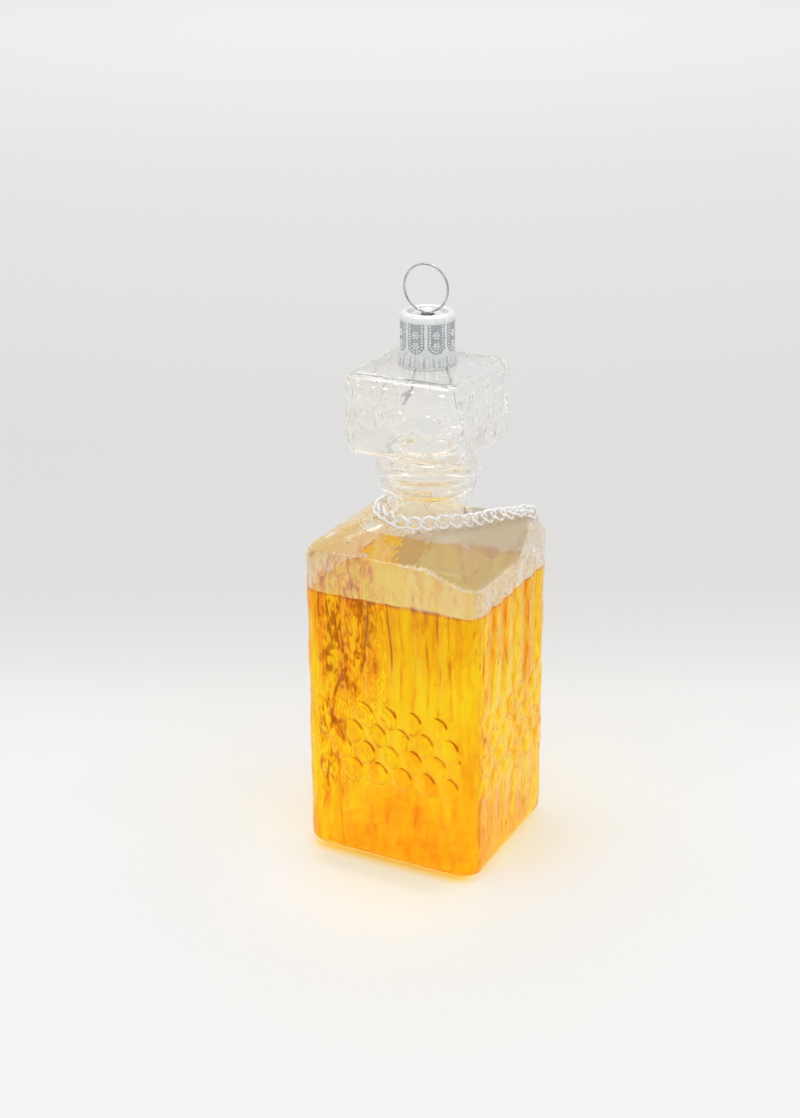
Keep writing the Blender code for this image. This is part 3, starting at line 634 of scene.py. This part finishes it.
def cap_emboss(turn, z):
    """How far the stamped pattern stands out of the cap's wall: sunk panels with beaded borders and
    two florets of beads in each, and a crinkled skirt under them."""
    u = ((turn / (2 * math.pi) * CAP_PANELS + 0.5) % 1 - 0.5) * PANEL_PITCH
    v = np.full_like(u, z)
    bend_z = PANEL_LOW + PANEL_HALF
    inside = PANEL_HALF - np.where(v > bend_z, np.abs(u), np.hypot(u, v - PANEL_LOW - PANEL_HALF))
    sunk = ease(-0.12 * MM, 0.12 * MM, np.minimum(inside, PANEL_TOP - v))
    border = panel_beads(PANEL_HALF - BEAD_INSET, PANEL_TOP - 0.4 * MM, PANEL_LOW + 0.5 * MM)
    florets = []
    for middle in (PANEL_LOW + rise for rise in FLORET_RISES):
        florets.append((0, middle))
        florets += [(FLORET_R * math.cos(a), middle + FLORET_R * math.sin(a))
                    for a in np.arange(6) * math.pi / 3]
    wall = -PANEL_DEEP * sunk + BEAD_HIGH * dots(u, v, border, BEAD_R)
    wall = wall + PETAL_HIGH * dots(u, v, florets, PETAL_R)
    skirt = ease(CAP_LOW + CAP_SKIRT, CAP_LOW + 1.2 * MM, z)
    crinkle = sum(size * np.sin(turn * folds + start)
                  for size, folds, start in ((0.5, 37, 0), (0.35, 23, 1.3), (0.25, 61, 0.4)))
    return wall * (1 - skirt) + CRINKLE * crinkle * skirt


def make_cap(material):
    """The stamped sheet: its outside from the hole to the skirt, and back along its inside."""
    around = CAP_PANELS * 56
    turn = np.arange(around) / around * 2 * math.pi

    def ring(reach, z):
        return np.stack([reach * np.cos(turn), reach * np.sin(turn), np.full(around, z)], 1)

    outer, inner, painted_relief_shade = [], [], []
    for r, z in cap_profile():
        stands = cap_emboss(turn, z) if z < CAP_PLAIN else np.zeros(around)
        # The stands record paints the metal: sunk panels in painted shade, beads and the crown as
        # painted highlight, the floor round the hole a little darker
        painted_crown_highlight = ease(CAP_TOP - 1.6 * MM, CAP_TOP - 0.8 * MM, z) * 0.4
        on_floor = r <= CAP_RIM_R - CAP_RIM_ROUND
        painted_relief_shade.append(stands + 0.42 if on_floor else stands / (0.3 * MM) + 0.52 + painted_crown_highlight)
        outer.append(ring(r + stands, z))
    for k, (r, z) in enumerate(cap_profile()[::4]):
        reach = max(r - CAP_SHEET, CAP_HOLE) if k > 1 else r
        inner.append(ring(reach, z - CAP_SHEET if z > CAP_PLAIN else z))
    inner.append(outer[-1] * [1 - CAP_SHEET / CAP_R, 1 - CAP_SHEET / CAP_R, 1])
    verts, quads = loft(np.array(outer + inner[::-1] + outer[:1]))
    obj = make_mesh("stamped_cap", verts, quads[:, ::-1])
    # The inside of the sheet is painted in shade
    height = np.full(len(verts), 0.3)
    height[:len(painted_relief_shade) * around] = np.clip(np.concatenate(painted_relief_shade), 0, 1)
    record(obj, "stands", height)
    obj.data.materials.append(material)
    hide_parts("ornament_cap")
    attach(obj, "cap")


def wire(name, route, radius, material, closed=False):
    curve = bpy.data.curves.new(name, "CURVE")
    curve.dimensions = "3D"
    curve.bevel_depth = radius
    curve.bevel_resolution = 4
    curve.use_fill_caps = True
    spline = curve.splines.new("POLY")
    spline.use_cyclic_u = closed
    spline.use_smooth = True
    spline.points.add(len(route) - 1)
    for point, place in zip(spline.points, route):
        point.co = (*place, 1)
    curve.materials.append(material)
    obj = bpy.data.objects.new(name, curve)
    bpy.context.scene.collection.objects.link(obj)
    return obj


def hanger_half():
    """Half of the wire's centre line, from the ring's top down to a leg's tip, as (x, z) from the
    cap's floor."""
    leg_x = LEG_PITCH / 2
    bend_x = leg_x + BEND_R
    bend_z = -math.sqrt((RING_R + BEND_R) ** 2 - bend_x ** 2)
    meet = math.atan2(bend_z, bend_x)
    ring = [(RING_R * math.cos(t), RING_RISE + RING_R * math.sin(t))
            for t in np.linspace(math.pi / 2, meet, 40)]
    bend = [(bend_x + BEND_R * math.cos(t), RING_RISE + bend_z + BEND_R * math.sin(t))
            for t in np.linspace(meet + math.pi, math.pi, 10)[1:]]
    leg = [(lerp(leg_x, LEG_SPREAD, s ** LEG_POWER), lerp(-CAP_SHEET, LEG_TIP - CAP_FLOOR, s))
           for s in np.linspace(0, 1, 24)]
    return ring + bend + leg


def make_hanger(material):
    half = hanger_half()
    lean = Matrix.Translation((0, 0, CAP_FLOOR)) @ Matrix.Rotation(-LEAN, 4, "Y")
    flat = [(-x, z) for x, z in reversed(half[1:])] + half
    obj = wire("hanger_spring", [lean @ Vector((x, 0, z)) for x, z in flat], WIRE_R, material)
    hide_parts("hanger_wire")
    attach(obj, "hanger")


def make_chain(material):
    """Each link is a smooth twisted oval in the place of its CAD node, found from the node's own
    spread: its long, wide and thin directions."""
    names = sorted(n for n in frame["nodes"] if n.startswith("chain_link_"))
    for name in names:
        places = np.array([v.co[:] for v in frame["nodes"][name].data.vertices])
        middle = places.mean(0)
        _, _, axes = np.linalg.svd(places - middle, full_matrices=False)
        length, width = Vector(axes[0]), Vector(axes[1])
        thick = length.cross(width)
        reach = ((places - middle) @ axes[0]).max() - CHAIN_WIRE
        half_width = LINK_WIDTH / 2 - CHAIN_WIRE
        route = []
        for t in np.arange(48) / 48 * 2 * math.pi:
            side, twist = half_width * math.sin(t), LINK_TWIST * math.cos(t)
            route.append(Vector(middle) + length * (reach * math.cos(t))
                         + width * (side * math.cos(twist)) + thick * (side * math.sin(twist)))
        link_name = name.replace("chain_link", "curb_link")
        link = wire(link_name, route, CHAIN_WIRE * CHAIN_BOLD, material, closed=True)
        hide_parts(name)
        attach(link, "chain")


# ---- Nodes. Most of these give the output that the next node takes

def feed(tree, socket, value):
    """Links an input to the output given, or else sets its value. A colour needs no alpha."""
    if isinstance(value, bpy.types.NodeSocket):
        tree.links.new(value, socket)
    else:
        socket.default_value = (*value, 1) if socket.type == "RGBA" else value


def give(tree, made, *values, **named):
    """Feeds a node's inputs: the first ones in order, and others by name with _ for a space."""
    for key, value in [*enumerate(values), *named.items()]:
        feed(tree, made.inputs[key.replace("_", " ") if isinstance(key, str) else key], value)


def node(tree, kind, x, y, *values, **named):
    made = tree.nodes.new("ShaderNode" + kind)
    made.location = (x, y)
    give(tree, made, *values, **named)
    return made


def shader_node(tree, kind, x, y, *values):
    return node(tree, kind, x, y, *values).outputs[0]


def reckoned(tree, operation, x, y, *values):
    made = node(tree, "Math", x, y, *values)
    made.operation = operation
    return made.outputs["Value"]


def ranged(tree, x, y, value, low, high, start=0.0, end=1.0):
    """A value from low to high, turned into one from start to end."""
    return node(tree, "MapRange", x, y, value, low, high, start, end).outputs["Result"]


def toned(tree, x, y, value, *stops):
    """A colour ramp's colour, its stops given as (position, colour) from low to high."""
    made = node(tree, "ValToRGB", x, y, value)
    elements = made.color_ramp.elements
    elements[0].position, elements[0].color = stops[0][0], (*stops[0][1], 1)
    elements[1].position, elements[1].color = stops[-1][0], (*stops[-1][1], 1)
    for position, colour in stops[1:-1]:
        elements.new(position).color = (*colour, 1)
    return made.outputs["Color"]


def mixed(tree, x, y, share, first, second, blend="MIX"):
    made = node(tree, "Mix", x, y, share)
    made.data_type, made.blend_type = "RGBA", blend
    feed(tree, made.inputs[6], first)
    feed(tree, made.inputs[7], second)
    return made.outputs[2]


def recorded(tree, name, x, y):
    """The number that the mesh keeps at each vertex under this name."""
    made = node(tree, "Attribute", x, y)
    made.attribute_name = name
    return made.outputs["Fac"]


def tinted_by_record(tree, colour, name, stain, x, y):
    """Multiplies a colour by a tint, a stain or a pool of painted light, as far as the mesh's own
    record of that name says.
    """
    return mixed(tree, x + 200, y, recorded(tree, name, x, y), colour, stain, "MULTIPLY")


def new_material(name):
    material = bpy.data.materials.new(name)
    material.use_nodes = True
    return material, material.node_tree, material.node_tree.nodes["Principled BSDF"]


def noise_bump(tree, shader, scale, strength, distance, stretch=(1, 1, 1), detail=2.0):
    """Roughens a shader with noise. Gives the place on the object, and the noise."""
    place = node(tree, "TexCoord", -1100, -300).outputs["Object"]
    mapping = node(tree, "Mapping", -900, -300, place, Scale=stretch)
    noise = node(tree, "TexNoise", -700, -300, mapping.outputs["Vector"],
                 Scale=scale, Detail=detail)
    bump = node(tree, "Bump", -400, -300, Strength=strength, Distance=distance,
                Height=noise.outputs["Fac"])
    give(tree, shader, Normal=bump.outputs["Normal"])
    return place, noise.outputs["Fac"]


# ---- Materials

def frees_caught_light(tree, shader):
    """Light that has turned back twice inside the wall leaves it, as it would at the next edge."""
    turns = node(tree, "LightPath", 300, 500).outputs["Glossy Depth"]
    caught = reckoned(tree, "GREATER_THAN", 500, 500, turns, MOST_TURNS)
    free = shader_node(tree, "BsdfTransparent", 500, 200)
    return shader_node(tree, "MixShader", 700, 300, caught, shader, free)


def ends_bright(tree, shader, colour):
    """A path that has crossed many thin walls ends in soft light, as bright as the studio round
    it, where the renderer would drop it and leave a black speck."""
    walls = node(tree, "LightPath", 300, 800).outputs["Transparent Depth"]
    deep = reckoned(tree, "GREATER_THAN", 500, 800, walls, MOST_WALLS)
    light = shader_node(tree, "Emission", 500, 950, colour)
    return shader_node(tree, "MixShader", 700, 800, deep, shader, light)


def set_thin_wall(material, shader, ending, tint):
    """Makes the shader the surface of a thin clear wall. Long paths end in the colour ending, and
    shadow rays pass straight through, tinted."""
    tree = material.node_tree
    shader = ends_bright(tree, shader, ending)
    shadow = node(tree, "LightPath", 700, 400).outputs["Is Shadow Ray"]
    clear = shader_node(tree, "BsdfTransparent", 700, -200, tint)
    surface = shader_node(tree, "MixShader", 900, 100, shadow, shader, clear)
    give(tree, tree.nodes["Material Output"], Surface=surface)
    material.cycles.emission_sampling = "NONE"


def veil_and_painted_light(tree, shader):
    """A veil over the glass, grey where thin and whiter where it is thick or streaked. It holds
    dried stains and also painted reflection and painted highlights.
    """
    tone = toned(tree, 100, -700, recorded(tree, "white", -100, -700),
                 (0, (0.58, 0.54, 0.43)), (1, (0.97, 0.965, 0.93)))
    dyed = tinted_by_record(tree, tone, "amber", (1.0, 0.66, 0.22), 150, -900)
    skin = shader_node(tree, "BsdfDiffuse", 400, -600, dyed)
    glow = shader_node(tree, "BsdfTranslucent", 400, -750, dyed)
    both = shader_node(tree, "MixShader", 600, -650, 0.4, skin, glow)
    veil = recorded(tree, "veil", 300, -500)
    return shader_node(tree, "MixShader", 800, -300, veil, shader, both)


def glass_material(name, ior, coat, low, high, tones, wash, glints):
    """Blown glass. Its tint runs through tones from the height low to high, in soft patches. A thin
    wash of lacquer has crept up the inside on the left and warms it to the colour wash. Glints have
    the colour glints beside the coat and are white above it."""
    material, tree, shader = new_material(name)
    give(tree, shader, Roughness=0.015, IOR=ior, Transmission_Weight=1.0,
         Coat_Weight=coat, Coat_Roughness=0.02, Coat_IOR=1.9)
    place, _ = noise_bump(tree, shader, scale=420, strength=0.25, distance=0.2 * MM,
                          stretch=(1, 1, 0.5))
    split = node(tree, "SeparateXYZ", -1100, 500, place)
    height = split.outputs["Z"]
    noise = node(tree, "TexNoise", -900, 200, place, Scale=110, Detail=4.0, Distortion=0.6)
    patches = ranged(tree, -700, 200, noise.outputs["Fac"], 0.3, 0.7, -0.12, 0.12)
    rise = ranged(tree, -900, 500, height, low, high)
    tint = toned(tree, -300, 400, reckoned(tree, "ADD", -500, 400, rise, patches), *tones)
    left = reckoned(tree, "MULTIPLY_ADD", -700, 700, split.outputs["X"], -40.0, 0.15)
    crept = reckoned(tree, "MULTIPLY_ADD", -500, 700, patches, 3.0, left)
    coated = ranged(tree, -500, 900, height, 66 * MM, 74 * MM, 1.0, 0.0)
    washed = reckoned(tree, "SUBTRACT", -300, 700, crept, coated)
    washed.node.use_clamp = True
    tint = mixed(tree, -100, 500, washed, tint, wash)
    tint = tinted_by_record(tree, tint, "amber", (0.93, 0.58, 0.16), -100, 900)
    tint = tinted_by_record(tree, tint, "brown", (0.50, 0.24, 0.07), 200, 1100)
    above = ranged(tree, -500, 1100, height, FILM_TOP - MM, FILM_TOP + MM)
    glint = mixed(tree, -300, 1100, above, glints, (1, 1, 1))
    give(tree, shader, Base_Color=tint, Specular_Tint=glint)
    freed = frees_caught_light(tree, veil_and_painted_light(tree, shader.outputs["BSDF"]))
    set_thin_wall(material, freed, (0.74, 0.74, 0.73), (0.985, 0.985, 0.975))
    return material


def film_material():
    """Translucent lacquer: light passes through tinted, and a little of it scatters in the coat. It
    is brushed on, so its colour deepens in soft upright streaks and where it pools. A faint glow
    stands for the light that the curved wall gathers into the coat."""
    material, tree, shader = new_material("amber_coat")
    tree.nodes.remove(shader)
    coords = node(tree, "TexCoord", -1700, 0)
    mapping = node(tree, "Mapping", -1500, 0, coords.outputs["Object"], Scale=(1, 1, 0.2))
    streaks = node(tree, "TexNoise", -1300, 100, mapping.outputs["Vector"],
                   Scale=260, Detail=8.0, Roughness=0.74)
    brushed = ranged(tree, -1100, 100, streaks.outputs["Fac"], 0.38, 0.72, 0.0, 0.62)
    depth = reckoned(tree, "ADD", -900, 200, brushed, recorded(tree, "pooling", -1300, 400))
    colour = toned(tree, -700, 100, depth, (0, (1.0, 0.93, 0.12)), (0.25, (1.0, 0.83, 0.07)),
                   (0.55, (0.97, 0.56, 0.03)), (1, (0.48, 0.13, 0.008)))
    clear = shader_node(tree, "BsdfTransparent", -300, 200, colour)
    glow = shader_node(tree, "BsdfTranslucent", -300, 0, (1.0, 0.60, 0.05))
    skin = shader_node(tree, "BsdfDiffuse", -300, -200, (0.98, 0.52, 0.03))
    scatter = shader_node(tree, "MixShader", 0, -100, 0.4, glow, skin)
    coat = shader_node(tree, "MixShader", 200, 100, 0.12, clear, scatter)
    gathered = shader_node(tree, "Emission", 200, -150, colour, 0.034)
    both = shader_node(tree, "AddShader", 400, 0, coat, gathered)
    set_thin_wall(material, both, (0.80, 0.52, 0.05), (1.0, 0.89, 0.50))
    return material


def metal_material(name, colour, dark, roughness, scale, bump, metallic=1.0, painted_hollow_shade=None):
    """Plated metal, a little duller in patches; less metallic where the plating is matt and white.
    Given a shade colour, its sunk parts are painted that much darker and its raised beads painted
    lighter, as far as the mesh's own record of what stands out says."""
    material, tree, shader = new_material(name)
    _, noise = noise_bump(tree, shader, scale, strength=0.5, distance=bump, detail=5.0)
    tone = toned(tree, -400, 200, noise, (0.35, dark), (0.65, colour))
    # Painted shade in the sunk parts and painted highlight on what stands out
    if painted_hollow_shade:
        shade = toned(tree, -500, 500, recorded(tree, "stands", -700, 500),
                      (0.05, painted_hollow_shade), (0.45, (0.86, 0.87, 0.87)), (0.8, (1, 1, 1)))
        tone = mixed(tree, -200, 300, 1.0, tone, shade, "MULTIPLY")
    dulled = ranged(tree, -400, -50, noise, 0, 1, *roughness)
    give(tree, shader, Base_Color=tone, Metallic=metallic, Roughness=dulled)
    return material


def paper_material():
    """White paper with painted light and shade: painted lightest round the object and a little
    greyer behind it, so that edges of glass and metal show. Near the foot a pool of amber light is
    painted on it, standing for light that falls through the coat."""
    material, tree, shader = new_material("paper")
    coords = node(tree, "TexCoord", -1100, 0)
    turned = node(tree, "Mapping", -900, 0, coords.outputs["Object"], Rotation=(0, 0, -VIEW_AZ))
    split = node(tree, "SeparateXYZ", -700, 0, turned.outputs["Vector"])
    reach = ranged(tree, -500, 0, split.outputs["Y"], 0.0, 2.0)
    # Painted light and shade: lighter near the object, greyer behind it
    levels = ((0.034, 0.88), (0.047, 0.82), (0.062, 0.77), (0.078, 0.74), (0.15, 0.745),
              (0.28, 0.80), (0.55, 0.87))
    greys = [(place, (level, level * 0.993, level * 0.985)) for place, level in levels]
    tone = toned(tree, -300, 0, reach,
                 (0.015, (0.91, 0.915, 0.92)), *greys, (1, (0.93, 0.94, 0.93)))
    # A painted pool of amber light near the foot
    with_painted_amber_light = tinted_by_record(tree, tone, "glow", (1.0, 0.70, 0.12), -100, 300)
    give(tree, shader, Base_Color=with_painted_amber_light, Roughness=0.8, Specular_IOR_Level=0.1)
    return material


# ---- Camera and studio

def camera():
    data = bpy.data.cameras.new("camera")
    data.sensor_fit = "VERTICAL"
    data.sensor_height = SENSOR
    data.lens = FOCAL_PX / FRAME_PX * SENSOR
    level = math.cos(VIEW_TILT)
    back = Vector((math.sin(VIEW_AZ) * level, -math.cos(VIEW_AZ) * level, math.sin(VIEW_TILT)))
    right = Vector((math.cos(VIEW_AZ), math.sin(VIEW_AZ), 0))
    up = back.cross(right)
    place = Vector((0, 0, VIEW_HEIGHT)) + back * VIEW_BACK + right * VIEW_RIGHT + up * VIEW_UP
    rolled_right = right * math.cos(VIEW_ROLL) + up * math.sin(VIEW_ROLL)
    rolled_up = up * math.cos(VIEW_ROLL) - right * math.sin(VIEW_ROLL)
    obj = bpy.data.objects.new("camera", data)
    columns = (rolled_right, rolled_up, back, [along * MM for along in place])
    obj.matrix_world = Matrix([*zip(*columns), (0, 0, 0, 1)])
    bpy.context.scene.collection.objects.link(obj)
    bpy.context.scene.camera = obj


def make_sky():
    """A soft bright sky, dimmer low down, so edges of glass and metal show."""
    world = bpy.data.worlds.new("studio")
    world.use_nodes = True
    tree = world.node_tree
    coords = node(tree, "TexCoord", -900, 0)
    split = node(tree, "SeparateXYZ", -700, 0, coords.outputs["Generated"])
    levels = ((0, 0.80), (0.05, 0.68), (0.14, 0.60), (0.35, 0.74), (1, 0.78))
    greys = [(rise, (level, level, level)) for rise, level in levels]
    sky = toned(tree, -500, 0, split.outputs["Z"], *greys)
    give(tree, tree.nodes["Background"], Color=sky, Strength=1.0)
    bpy.context.scene.world = world


def make_floor():
    """A wide sheet of paper in rings round the foot, with a record of where a pool of amber light
    is painted on it: close to the foot and mostly in front."""
    rings, glow = [], []
    for step in (0, 0.7, 1.4, 2.1, 2.8, 3.5, 4.2, 5.0, 6.0, 7.5, 10, 14, 20, 60, 400, 8000):
        half_x, half_y = (half - FOOT_R + step * MM for half in BODY_HALF)
        place, out = section(half_x, half_y, CORNER_R + step * MM, 24)
        rings.append(np.c_[place, np.full(len(place), FLOOR_Z)])
        # Painted pool of amber light, strongest near the foot and in front
        nearness = 0.8 * (1 - ease(1.5, 5.5, step)) + 0.15 * math.exp(-step / 5)
        glow.append(nearness * (0.06 + 0.94 * ease(0.45, 0.95, -out[:, 1])) * (step < 30))
    verts, quads = loft(np.array(rings))
    floor = make_mesh("floor", verts, quads, [range(len(rings[0]))], smooth=False)
    record(floor, "glow", np.concatenate(glow))
    floor.data.materials.append(paper_material())


def lamp(name, kind, place, target, power):
    data = bpy.data.lights.new(name, kind)
    data.energy = power
    obj = bpy.data.objects.new(name, data)
    obj.location = place
    obj.rotation_euler = (Vector(target) - Vector(place)).to_track_quat("-Z", "Y").to_euler()
    bpy.context.scene.collection.objects.link(obj)
    return data


def make_lamps():
    for name, place, target, size, power in (
            ("overhead", (0.0, 0.0, 1.1), (0, 0, 0), (0.55, 0.55), 1.8),
            ("backdrop", (-0.72, 1.43, 1.5), (-0.8, 1.6, 0), (1.2, 0.8), 5.0),
            ("key", (-0.40, -0.55, 0.85), (0, 0, 0.06), (0.15, 0.15), 0.6),
            ("rim", (0.50, 0.10, 0.75), (0, 0, 0.08), (0.10, 0.20), 0.4)):
        data = lamp(name, "AREA", place, target, power)
        data.shape = "RECTANGLE"
        data.size, data.size_y = size
    # A weak warm beam stands for the light that the glass focuses on the paper
    beam = lamp("behind", "SPOT", (-0.004, 0.085, 0.85), (-0.003, -0.019, 0), 2.4)
    beam.color = (1.0, 0.90, 0.70)
    beam.spot_size, beam.spot_blend, beam.shadow_soft_size = math.radians(6.0), 1.0, 0.012


camera()
make_sky()
make_floor()
make_lamps()
bpy.context.scene.view_settings.view_transform = "Standard"

body_tones = (0, (1.0, 0.997, 0.985)), (0.35, (1.0, 0.895, 0.82)), (1, (0.99, 0.92, 0.81))
upper_tones = (0, (0.99, 0.965, 0.90)), (0.45, (1.0, 0.985, 0.95)), (1, (1.0, 0.998, 0.99))
make_glass(
    glass_material("body_glass", ior=1.36, coat=0.0, low=60 * MM, high=80 * MM,
                   tones=body_tones, wash=(1.0, 0.84, 0.50), glints=(0.55, 0.45, 0.16)),
    glass_material("upper_glass", ior=1.22, coat=1.0, low=80 * MM, high=110 * MM,
                   tones=upper_tones, wash=(1.0, 0.97, 0.90), glints=(1.0, 1.0, 1.0)))
make_film(film_material())
make_cap(metal_material(
    "stamped_silver", colour=(0.99, 1.0, 1.0), dark=(0.88, 0.90, 0.91), roughness=(0.2, 0.38),
    scale=900, bump=0.04 * MM, metallic=0.3, painted_hollow_shade=(0.48, 0.51, 0.52)))
make_hanger(metal_material(
    "drawn_wire", colour=(0.62, 0.62, 0.61), dark=(0.40, 0.40, 0.40), roughness=(0.12, 0.3),
    scale=700, bump=0.02 * MM))
make_chain(metal_material(
    "silver_plate", colour=(1.0, 1.0, 1.0), dark=(0.96, 0.96, 0.96), roughness=(0.2, 0.34),
    scale=800, bump=0.02 * MM, metallic=0.3))
